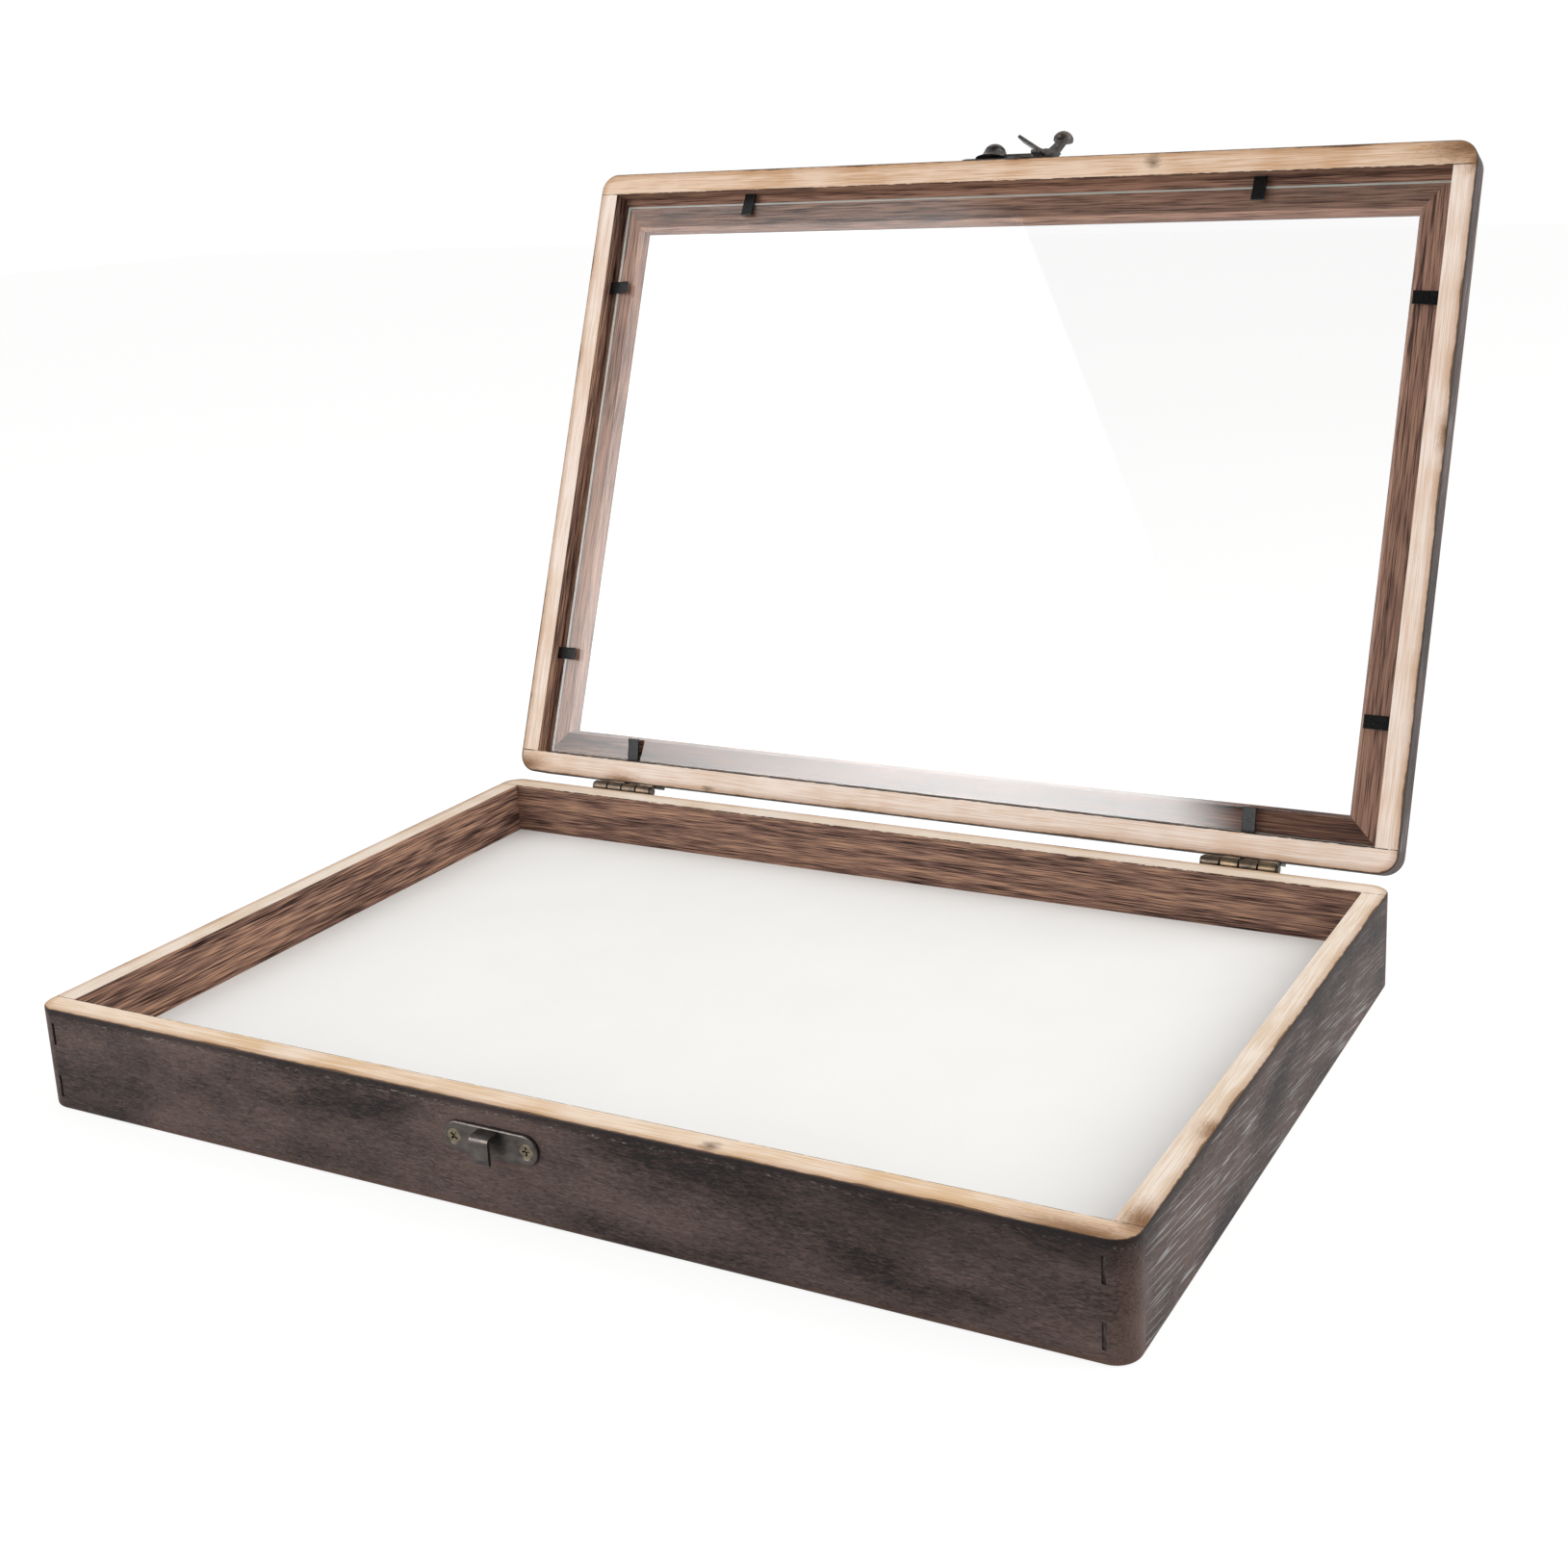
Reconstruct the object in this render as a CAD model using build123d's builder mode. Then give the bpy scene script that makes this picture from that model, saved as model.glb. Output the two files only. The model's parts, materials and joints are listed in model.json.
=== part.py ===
"""Insect display box: a hinged wooden case with a glazed lid, standing open. Millimetres, +Z up.

X runs along the front, Y to the back. The origin is at the centre of the underside.
"""
import os
from math import cos, radians, sin, tan

from build123d import *

os.makedirs("parts", exist_ok=True)

# Box outline, the same for base and lid
box_width = 300.0
box_depth = 212.4
corner_radius = 6.0
edge_round = 1.2
rim_easing = 0.5
cross_board_thickness = 7.25
side_board_thickness = 6.6

# Base
base_height = 28.3
bottom_thickness = 3.0
bottom_rebate = 2.6
foam_thickness = 10.0
foam_gap = 0.2

# Lid
open_angle = 111.75
lid_gap = 0.7
rail_height = 6.25
frame_thickness = 4.75
side_member_width = 16.0
back_member_width = 16.0
front_member_width = 18.9
window_edge_chamfer = 1.2

# Glass, pushed to the right and to the back when the lid was glazed
glass_thickness = 2.0
glass_left_gap = 2.65
glass_right_gap = 0.3
glass_front_gap = 3.2
glass_back_gap = 0.4

# Glazing points
point_width = 4.1
point_thickness = 0.7
point_reach = 7.8
point_depth = 4.6
point_tilt = 10.0
front_points = (-91.4, 86.1)
back_points = (-106.7, 106.0)
left_points = (-66.3, 64.0)
right_points = (-60.6, 63.3)

# Corner staples
staple_height = 6.2
staple_wire = 1.0
staple_crown = 0.6
staple_leg = 13.0
staple_sunk = 0.5
staple_inset = 6.0
staple_low_margin = 0.6
staple_high_margin = 3.9

# Screws
screw_head_radius = 1.9
screw_shank_radius = 0.9
screw_length = 5.4
screw_sunk = 0.1
screw_head_depth = 1.0
recess_length = 2.2
recess_width = 0.5
recess_depth = 0.6
pilot_clearance = 0.05

# Hinges
hinge_inset = 44.0
hinge_length = 22.4
knuckle_count = 4
knuckle_gap = 0.5
barrel_radius = 1.85
barrel_clearance = 0.35
pin_radius = 0.9
pin_clearance = 0.05
pin_head_radius = 1.5
pin_head_thickness = 0.4
leaf_thickness = 0.9
leaf_height = 8.6
leaf_start = 0.5
leaf_corner = 0.8
leaf_screw_spacing = 14.0
leaf_screw_height = 5.5
leaf_screw_head_radius = 1.5
stop_reach = 4.6
stop_thickness = 1.0
stop_gap = 0.3

# Latch plate and catch plate
plate_thickness = 1.1
plate_height = 7.7
plate_edge_round = 0.5
latch_x = -2.9
latch_height = 5.5
latch_plate_length = 23.4
latch_screw_spacing = 16.8
catch_x = -3.4
catch_height = 19.0
catch_plate_length = 26.4
catch_screw_spacing = 20.3

# Nose pressed up out of the catch plate, a pocket open to the right and below
nose_width = 5.2
nose_proud = 5.3
nose_sheet = 0.9
nose_drop = 7.2
nose_shoulder = 1.9
nose_wall = 0.9
nose_wall_drop = 5.0
nose_root = 0.3
nose_corner_round = 2.2

# Latch hook, in its own axes: along the arm, outward from the lid
hook_gap = 0.35
hook_bore_clearance = 0.05
hub_radius = 3.5
hub_foot_radius = 6.2
hub_height = 3.1
hub_flare = 0.4
arm_width = 4.4
arm_thickness = 1.2
saddle_start = 14.2
saddle_end = 20.2
saddle_height = 2.4
saddle_width = 5.0
saddle_floor_along = 17.4
blade_root_along = 15.0
blade_root_proud = 3.6
blade_tip_along = 8.7
blade_tip_proud = 7.5
blade_thickness = 1.1
blade_tip_round = 0.3
neck_width = 3.2
neck_start = 18.6
neck_lean = 3.95
neck_top = 5.6
neck_thickness = 2.3
knob_radius = 3.15
knob_disc = 0.9
knob_dome = 2.2
claw_start = 14.8
claw_length = 2.8
claw_reach = 6.2
claw_thickness = 0.9
claw_corner = 0.6

# Rivet that the hook turns on
rivet_shank_radius = 1.4
rivet_head_radius = 3.2
rivet_head_edge = 0.3
rivet_head_dome = 1.7
rivet_end_play = 0.3
rivet_length_in_wood = 4.0

# Sizes that follow from the ones above
inner_width = box_width - 2 * side_board_thickness
inner_depth = box_depth - 2 * cross_board_thickness
lid_height = rail_height + frame_thickness
hinge_x = box_width / 2 - hinge_inset
hinge_offset = barrel_radius + barrel_clearance
knuckle_pitch = hinge_length / knuckle_count
leaf_edge = barrel_radius + leaf_start
pilot_radius = screw_shank_radius + pilot_clearance
base_knuckles = range(0, knuckle_count, 2)
lid_knuckles = range(1, knuckle_count, 2)

# Axes of the two bodies: the underside of the base, and the sawn rim of the lid.
# Both have x along the front, y towards the hinges and z towards the box's outer face.
base_axes = Plane.XY
lid_up = (0, sin(radians(open_angle)), cos(radians(open_angle)))
hinge_axes = Plane(origin=(0, box_depth / 2 + hinge_offset, base_height), x_dir=(1, 0, 0), z_dir=lid_up)
rim_centre = hinge_axes.from_local_coords((0, -hinge_offset - box_depth / 2, lid_gap))
lid_axes = Plane(origin=rim_centre, x_dir=(1, 0, 0), z_dir=lid_up)


def save(part, name):
    """Label a finished piece and write it under its name."""
    part.label = name
    export_step(part, f"parts/{name}.step")


def front_face(axes, x, height, proud=0.0):
    """Plane on a body's front face, looking outward, with y towards the body's z."""
    origin = axes.from_local_coords((x, -box_depth / 2 - proud, height))
    return Plane(origin=origin, x_dir=axes.x_dir, z_dir=-axes.y_dir)


def back_face(axes, x, height, proud=0.0):
    """Plane on a body's back face, looking outward, with y towards the body's z."""
    origin = axes.from_local_coords((x, box_depth / 2 + proud, height))
    return Plane(origin=origin, x_dir=-axes.x_dir, z_dir=axes.y_dir)


def block(axes, low, high):
    """Plain block between two corners, in the axes of a body."""
    with BuildPart() as piece:
        with BuildSketch(axes.offset(low[2])):
            with Locations(((low[0] + high[0]) / 2, (low[1] + high[1]) / 2)):
                Rectangle(high[0] - low[0], high[1] - low[1])
        extrude(amount=high[2] - low[2])
    return piece.part


def envelope(axes, height, rounded_end):
    """Outside of the base or the lid: round corners, a rounded outer end and an eased sawn end."""
    with BuildPart() as outside:
        with BuildSketch(axes):
            RectangleRounded(box_width, box_depth, corner_radius)
        extrude(amount=height)
        ends = outside.faces().sort_by(Axis(axes.origin, axes.z_dir))
        rounded = ends[0] if rounded_end == "low" else ends[-1]
        sawn = ends[-1] if rounded_end == "low" else ends[0]
        fillet(rounded.edges(), edge_round)
        fillet(sawn.edges(), rim_easing)
    return outside.part


def shaped(outside, blank, cutters, name):
    """Cut a blank to the outside of the box, take the cutters out of it and save it."""
    with BuildPart() as piece:
        add(outside)
        add(blank, mode=Mode.INTERSECT)
        for cutter in cutters:
            add(cutter, mode=Mode.SUBTRACT)
    save(piece.part, name)


def board_blanks(axes, height):
    """Blanks of the four boards: front and back run full width, the sides butt between them."""
    half_width = box_width / 2
    half_depth = box_depth / 2
    inner_x = inner_width / 2
    inner_y = inner_depth / 2
    return {
        "front": block(axes, (-half_width, -half_depth, 0), (half_width, -inner_y, height)),
        "back": block(axes, (-half_width, inner_y, 0), (half_width, half_depth, height)),
        "left": block(axes, (-half_width, -inner_y, 0), (-inner_x, inner_y, height)),
        "right": block(axes, (inner_x, -inner_y, 0), (half_width, inner_y, height)),
    }


def screw_group(seats, head_radius, turn):
    """Countersunk cross-head screws, one on each seat, heads sunk just below the seat."""
    with BuildPart() as screws:
        for number, seat in enumerate(seats):
            head_plane = seat.offset(-screw_sunk)
            angle = turn * (number + 1)
            with BuildSketch(head_plane):
                Circle(head_radius)
            with BuildSketch(head_plane.offset(-screw_head_depth)):
                Circle(screw_shank_radius)
            loft()
            with BuildSketch(head_plane):
                Circle(screw_shank_radius)
            extrude(amount=-screw_length)
            with BuildSketch(head_plane):
                Rectangle(recess_length, recess_width, rotation=angle)
                Rectangle(recess_width, recess_length, rotation=angle)
            extrude(amount=-recess_depth, mode=Mode.SUBTRACT)
    return screws.part


def screw_seat_cutter(seats, head_radius):
    """Countersinks and pilot holes for a group of screws, from the plate down into the wood."""
    with BuildPart() as cutter:
        for seat in seats:
            with BuildSketch(seat):
                Circle(head_radius + screw_sunk + pilot_clearance)
            with BuildSketch(seat.offset(-screw_sunk - screw_head_depth)):
                Circle(pilot_radius)
            loft()
            with BuildSketch(seat):
                Circle(pilot_radius)
            extrude(amount=-screw_length - 2 * screw_sunk)
    return cutter.part


# Seats of all the screws, on the outer faces of the plates and leaves
catch_plane = front_face(base_axes, catch_x, catch_height)
latch_plane = front_face(lid_axes, latch_x, latch_height)
catch_seats = [
    front_face(base_axes, catch_x + side * catch_screw_spacing / 2, catch_height, plate_thickness)
    for side in (-1, 1)
]
latch_seats = [
    front_face(lid_axes, latch_x + side * latch_screw_spacing / 2, latch_height, plate_thickness)
    for side in (-1, 1)
]
hinge_places = {"left": -hinge_x, "right": hinge_x}


def leaf_seats(axes, height, x):
    """Two screw seats on the outer face of one hinge leaf."""
    return [back_face(axes, x + side * leaf_screw_spacing / 2, height, leaf_thickness) for side in (-1, 1)]


base_leaf_seats = {
    side: leaf_seats(base_axes, base_height - leaf_screw_height, x) for side, x in hinge_places.items()
}
lid_leaf_seats = {
    side: leaf_seats(lid_axes, leaf_screw_height - lid_gap, x) for side, x in hinge_places.items()
}
catch_cutter = screw_seat_cutter(catch_seats, screw_head_radius)
latch_cutter = screw_seat_cutter(latch_seats, screw_head_radius)
base_leaf_cutters = {
    side: screw_seat_cutter(seats, leaf_screw_head_radius) for side, seats in base_leaf_seats.items()
}
lid_leaf_cutters = {
    side: screw_seat_cutter(seats, leaf_screw_head_radius) for side, seats in lid_leaf_seats.items()
}


# Corner staples: two at each corner, crowns upright, legs through the cross board into the side board
def corner_staples():
    """Eight staples, driven from the front and back faces."""
    low = bottom_thickness + staple_low_margin + staple_height / 2
    high = base_height - staple_high_margin - staple_height / 2
    with BuildPart() as staples:
        for face in (front_face, back_face):
            for side in (-1, 1):
                for height in (low, high):
                    x = side * (box_width / 2 - staple_inset)
                    crown_plane = face(base_axes, x, height, -staple_sunk)
                    with BuildSketch(crown_plane):
                        Rectangle(staple_wire, staple_height)
                    extrude(amount=-staple_crown)
                    with BuildSketch(crown_plane):
                        with GridLocations(0, staple_height - staple_crown, 1, 2):
                            Rectangle(staple_wire, staple_crown)
                    extrude(amount=-staple_leg)
    return staples.part


def staple_slots():
    """Shallow slots that the crowns were driven into, down to the crown's outer face."""
    low = bottom_thickness + staple_low_margin + staple_height / 2
    high = base_height - staple_high_margin - staple_height / 2
    with BuildPart() as slots:
        for face in (front_face, back_face):
            for side in (-1, 1):
                for height in (low, high):
                    with BuildSketch(face(base_axes, side * (box_width / 2 - staple_inset), height)):
                        Rectangle(staple_wire, staple_height)
                    extrude(amount=-staple_sunk)
    return slots.part


# Bottom panel, let into a rebate along the boards' lower inner edges
def bottom_blank():
    """Panel that fills the rebate, flush with the underside."""
    half_x = inner_width / 2 + bottom_rebate
    half_y = inner_depth / 2 + bottom_rebate
    return block(base_axes, (-half_x, -half_y, 0), (half_x, half_y, bottom_thickness))


# Base boards
staples = corner_staples()
bottom_panel = bottom_blank()
base_outside = envelope(base_axes, base_height, "low")
base_cutters = [bottom_panel, staples, staple_slots(), catch_cutter, *base_leaf_cutters.values()]
for side, blank in board_blanks(base_axes, base_height).items():
    shaped(base_outside, blank, base_cutters, f"base_{side}_board")
save(staples, "base_corner_staples")
save(bottom_panel, "base_bottom_panel")


# Pinning foam, pressed in on the bottom panel
with BuildPart() as pinning_foam:
    with BuildSketch(base_axes.offset(bottom_thickness)):
        Rectangle(inner_width - 2 * foam_gap, inner_depth - 2 * foam_gap)
    extrude(amount=foam_thickness)
save(pinning_foam.part, "pinning_foam")


# Glass pane, against the face frame
glass_face = rail_height - glass_thickness
glass = block(
    lid_axes,
    (-inner_width / 2 + glass_left_gap, -inner_depth / 2 + glass_front_gap, glass_face),
    (inner_width / 2 - glass_right_gap, inner_depth / 2 - glass_back_gap, rail_height),
)
save(glass, "glass_pane")


# Glazing points: black steel strips driven into the rails, bearing on the pane's edge
def point_places():
    """Wall point, inward direction and gap to the pane of each glazing point, in the lid's axes."""
    wall_x = inner_width / 2
    wall_y = inner_depth / 2
    front = [((x, -wall_y), (0, 1), glass_front_gap) for x in front_points]
    back = [((x, wall_y), (0, -1), glass_back_gap) for x in back_points]
    left = [((-wall_x, y), (1, 0), glass_left_gap) for y in left_points]
    right = [((wall_x, y), (-1, 0), glass_right_gap) for y in right_points]
    return front + back + left + right


def glazing_points():
    """Eight straight strips, each resting on the pane's edge and rising inwards over the glass."""
    slope = tan(radians(point_tilt))
    with BuildPart() as points:
        for (x, y), (inward_x, inward_y), gap in point_places():
            root = glass_face + slope * (gap + point_depth)
            tip = glass_face + slope * (gap - point_reach)
            origin = lid_axes.from_local_coords((x, y, 0))
            inward = lid_axes.x_dir * inward_x + lid_axes.y_dir * inward_y
            profile = Plane(origin=origin, x_dir=inward, z_dir=inward.cross(lid_axes.z_dir))
            with BuildSketch(profile):
                with BuildLine():
                    Polyline(
                        (-point_depth, root - point_thickness),
                        (point_reach, tip - point_thickness),
                        (point_reach, tip),
                        (-point_depth, root),
                        close=True,
                    )
                make_face()
            extrude(amount=point_width / 2, both=True)
    return points.part


points = glazing_points()


# Rivet of the latch hook
hook_bottom = plate_thickness + hook_gap
hub_top = hook_bottom + hub_height
pivot_profile = Plane(origin=latch_plane.origin, x_dir=latch_plane.x_dir, z_dir=-latch_plane.y_dir)
pivot_axis = Axis(latch_plane.origin, latch_plane.z_dir)
head_bottom = hub_top + rivet_end_play
head_edge_top = head_bottom + rivet_head_edge
head_top = head_edge_top + rivet_head_dome
rivet_dome_radius = (rivet_head_radius**2 + rivet_head_dome**2) / (2 * rivet_head_dome)
with BuildPart() as rivet:
    with BuildSketch(pivot_profile):
        with BuildLine():
            Polyline(
                (0, head_top),
                (0, -rivet_length_in_wood),
                (rivet_shank_radius, -rivet_length_in_wood),
                (rivet_shank_radius, head_bottom),
                (rivet_head_radius, head_bottom),
                (rivet_head_radius, head_edge_top),
            )
            RadiusArc((rivet_head_radius, head_edge_top), (0, head_top), -rivet_dome_radius)
        make_face()
    revolve(axis=pivot_axis)
save(rivet.part, "latch_rivet")
with BuildPart() as rivet_hole:
    with BuildSketch(latch_plane.offset(plate_thickness)):
        Circle(rivet_shank_radius)
    extrude(amount=-plate_thickness - rivet_length_in_wood)


# Lid rails, one width with the base boards because the shut box is sawn in two
lid_outside = envelope(lid_axes, lid_height, "high")
lid_cutters = [points, latch_cutter, rivet_hole.part, *lid_leaf_cutters.values()]
for side, blank in board_blanks(lid_axes, rail_height).items():
    shaped(lid_outside, blank, lid_cutters, f"lid_{side}_rail")
save(points, "glazing_points")


# Face frame: four mitred members glued over the rails, round the window
def member_blank(corners, window_edge):
    """One member: the outline from outer to window corners, with the window edge chamfered."""
    with BuildPart() as member:
        with BuildSketch(lid_axes.offset(rail_height)):
            with BuildLine():
                Polyline(*corners, close=True)
            make_face()
        extrude(amount=frame_thickness)
        edge_point = lid_axes.from_local_coords((*window_edge, rail_height))
        chamfer(member.edges().sort_by_distance(edge_point)[0], window_edge_chamfer)
    return member.part


def frame_members():
    """Outlines of the four members, mitred from the window corners to the box corners."""
    outer_x = box_width / 2
    outer_y = box_depth / 2
    window_x = outer_x - side_member_width
    window_back = outer_y - back_member_width
    window_front = -outer_y + front_member_width
    middle_y = (window_back + window_front) / 2
    outer = {
        "fl": (-outer_x, -outer_y),
        "fr": (outer_x, -outer_y),
        "br": (outer_x, outer_y),
        "bl": (-outer_x, outer_y),
    }
    inner = {
        "fl": (-window_x, window_front),
        "fr": (window_x, window_front),
        "br": (window_x, window_back),
        "bl": (-window_x, window_back),
    }
    return {
        "front": ([outer["fl"], outer["fr"], inner["fr"], inner["fl"]], (0, window_front)),
        "back": ([outer["br"], outer["bl"], inner["bl"], inner["br"]], (0, window_back)),
        "left": ([outer["bl"], outer["fl"], inner["fl"], inner["bl"]], (-window_x, middle_y)),
        "right": ([outer["fr"], outer["br"], inner["br"], inner["fr"]], (window_x, middle_y)),
    }


for side, (corners, window_edge) in frame_members().items():
    shaped(lid_outside, member_blank(corners, window_edge), lid_cutters, f"face_frame_{side}")


# Hinges: each leaf is a plate with its knuckles, and the base leaf's knuckles carry stop lugs
def hinge_section(axes, axis_height, x):
    """Plane across the hinge axis at x, with x away from the box and y towards the body's z."""
    origin = axes.from_local_coords((x, box_depth / 2 + hinge_offset, axis_height))
    return Plane(origin=origin, x_dir=axes.y_dir, z_dir=axes.x_dir)


def hinge_leaf(section, up, knuckles, cutter, name):
    """One leaf. The plate lies above the hinge axis if up is 1 and below it if up is -1."""
    plate_middle = -hinge_offset + leaf_thickness / 2
    width = knuckle_pitch - knuckle_gap
    open_direction = radians(open_angle - 90)
    lug_middle = hinge_offset - leaf_thickness - stop_gap - stop_thickness / 2
    along = stop_reach / 2
    lug_x = along * cos(open_direction) + lug_middle * sin(open_direction)
    lug_y = -along * sin(open_direction) + lug_middle * cos(open_direction)
    with BuildPart() as leaf:
        with BuildSketch(section.offset(-hinge_length / 2)):
            with Locations((plate_middle, up * (leaf_edge + leaf_height) / 2)):
                Rectangle(leaf_thickness, leaf_height - leaf_edge)
        extrude(amount=hinge_length)
        outward = Axis(section.origin, section.x_dir)
        far_end = leaf.edges().filter_by(outward).sort_by(Axis(section.origin, section.y_dir * up))[-2:]
        fillet(far_end, leaf_corner)
        for number in knuckles:
            start = -hinge_length / 2 + number * knuckle_pitch + knuckle_gap / 2
            with BuildSketch(section.offset(start)):
                Circle(barrel_radius)
                with Locations((plate_middle, up * (leaf_start + leaf_edge) / 2)):
                    Rectangle(leaf_thickness, leaf_edge - leaf_start)
                if up < 0:
                    with Locations((lug_x, lug_y)):
                        Rectangle(stop_reach, stop_thickness, rotation=90 - open_angle)
                Circle(pin_radius + pin_clearance, mode=Mode.SUBTRACT)
            extrude(amount=width)
        add(cutter, mode=Mode.SUBTRACT)
    save(leaf.part, name)


def hinge_pin(section, name):
    """Pin through all the knuckles, with a small head at each end."""
    with BuildPart() as pin:
        with BuildSketch(section.offset(-hinge_length / 2)):
            Circle(pin_radius)
        extrude(amount=hinge_length)
        for end, direction in ((-hinge_length / 2, -1), (hinge_length / 2, 1)):
            with BuildSketch(section.offset(end)):
                Circle(pin_head_radius)
            extrude(amount=direction * pin_head_thickness)
        rims = pin.edges().filter_by(GeomType.CIRCLE).sort_by(Axis(section.origin, section.z_dir))
        fillet([rims[0], rims[-1]], pin_head_thickness / 2)
    save(pin.part, name)


for side, x in hinge_places.items():
    base_section = hinge_section(base_axes, base_height, x)
    lid_section = hinge_section(lid_axes, -lid_gap, x)
    hinge_leaf(base_section, -1, base_knuckles, base_leaf_cutters[side], f"{side}_hinge_base_leaf")
    hinge_leaf(lid_section, 1, lid_knuckles, lid_leaf_cutters[side], f"{side}_hinge_lid_leaf")
    hinge_pin(base_section, f"{side}_hinge_pin")
save(screw_group(sum(base_leaf_seats.values(), []), leaf_screw_head_radius, 37), "hinge_base_screws")
save(screw_group(sum(lid_leaf_seats.values(), []), leaf_screw_head_radius, 52), "hinge_lid_screws")


# Latch plate: a pill-shaped plate on the lid's front face
with BuildPart() as latch_plate:
    with BuildSketch(latch_plane):
        SlotOverall(latch_plate_length, plate_height)
    extrude(amount=plate_thickness)
    top_edges = latch_plate.faces().sort_by(pivot_axis)[-1].edges()
    fillet(top_edges, plate_edge_round)
    add(latch_cutter, mode=Mode.SUBTRACT)
    add(rivet_hole.part, mode=Mode.SUBTRACT)
save(latch_plate.part, "latch_plate")
save(screw_group(latch_seats, screw_head_radius, 20), "latch_screws")


# Catch plate with its nose
nose_top = plate_height / 2
nose_under = nose_proud - nose_sheet
catch_profile = Plane(origin=catch_plane.origin, x_dir=catch_plane.y_dir, z_dir=catch_plane.x_dir)
with BuildPart() as catch_plate:
    with BuildSketch(catch_plane):
        SlotOverall(catch_plate_length, plate_height)
    extrude(amount=plate_thickness)
    top_edges = catch_plate.faces().sort_by(Axis(catch_plane.origin, catch_plane.z_dir))[-1].edges()
    fillet(top_edges, plate_edge_round)
    with BuildSketch(catch_profile.offset(-nose_width / 2)):
        with BuildLine():
            Spline(
                (nose_top - nose_root, plate_thickness / 2),
                (nose_top - nose_shoulder, nose_proud),
                tangents=((-0.2, 1), (-1, 0)),
            )
            Polyline(
                (nose_top - nose_shoulder, nose_proud),
                (nose_top - nose_drop, nose_proud),
                (nose_top - nose_drop, nose_under),
                (nose_top - nose_shoulder - nose_sheet / 2, nose_under),
            )
            Spline(
                (nose_top - nose_shoulder - nose_sheet / 2, nose_under),
                (nose_top - nose_root - nose_sheet, plate_thickness / 2),
                tangents=((1, 0), (0.2, -1)),
            )
            Line(
                (nose_top - nose_root - nose_sheet, plate_thickness / 2),
                (nose_top - nose_root, plate_thickness / 2),
            )
        make_face()
    extrude(amount=nose_width)
    low_corner = (-nose_width / 2, nose_top - nose_drop, nose_proud - nose_sheet / 2)
    low_corner = catch_plane.from_local_coords(low_corner)
    fillet(catch_plate.edges().sort_by_distance(low_corner)[0], nose_corner_round)
    with BuildSketch(catch_profile.offset(-nose_width / 2)):
        wall_middle = nose_top - (nose_shoulder + nose_wall_drop) / 2
        with Locations((wall_middle, (plate_thickness + nose_under) / 2)):
            Rectangle(nose_wall_drop - nose_shoulder, nose_under - plate_thickness + nose_sheet)
    extrude(amount=nose_wall)
    add(catch_cutter, mode=Mode.SUBTRACT)
save(catch_plate.part, "catch_plate")
save(screw_group(catch_seats, screw_head_radius, 48), "catch_screws")


# Latch hook: hub, flat arm, saddle with thumb blade, leaning neck with knob, and the claw
arm_top = hook_bottom + arm_thickness
saddle_floor = hook_bottom + saddle_height
blade_root = Vector(blade_root_along, hook_bottom + blade_root_proud)
blade_tip = Vector(blade_tip_along, hook_bottom + blade_tip_proud)
blade_lean = (blade_tip - blade_root).normalized()
blade_under = blade_lean.rotate(Axis.Z, 90) * blade_thickness
knob_base = hook_bottom + neck_top
knob_edge = knob_base + knob_disc
knob_top = knob_edge + knob_dome
knob_dome_radius = (knob_radius**2 + knob_dome**2) / (2 * knob_dome)
neck_end = knob_base + knob_disc / 2
neck_foot = Vector(saddle_end - neck_thickness / 2, hook_bottom)
knob_along = neck_foot.X + neck_lean
neck_direction = (neck_foot - Vector(knob_along, neck_end)).normalized()
knob_axis = Axis(latch_plane.from_local_coords((knob_along, 0, 0)), latch_plane.z_dir)
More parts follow.
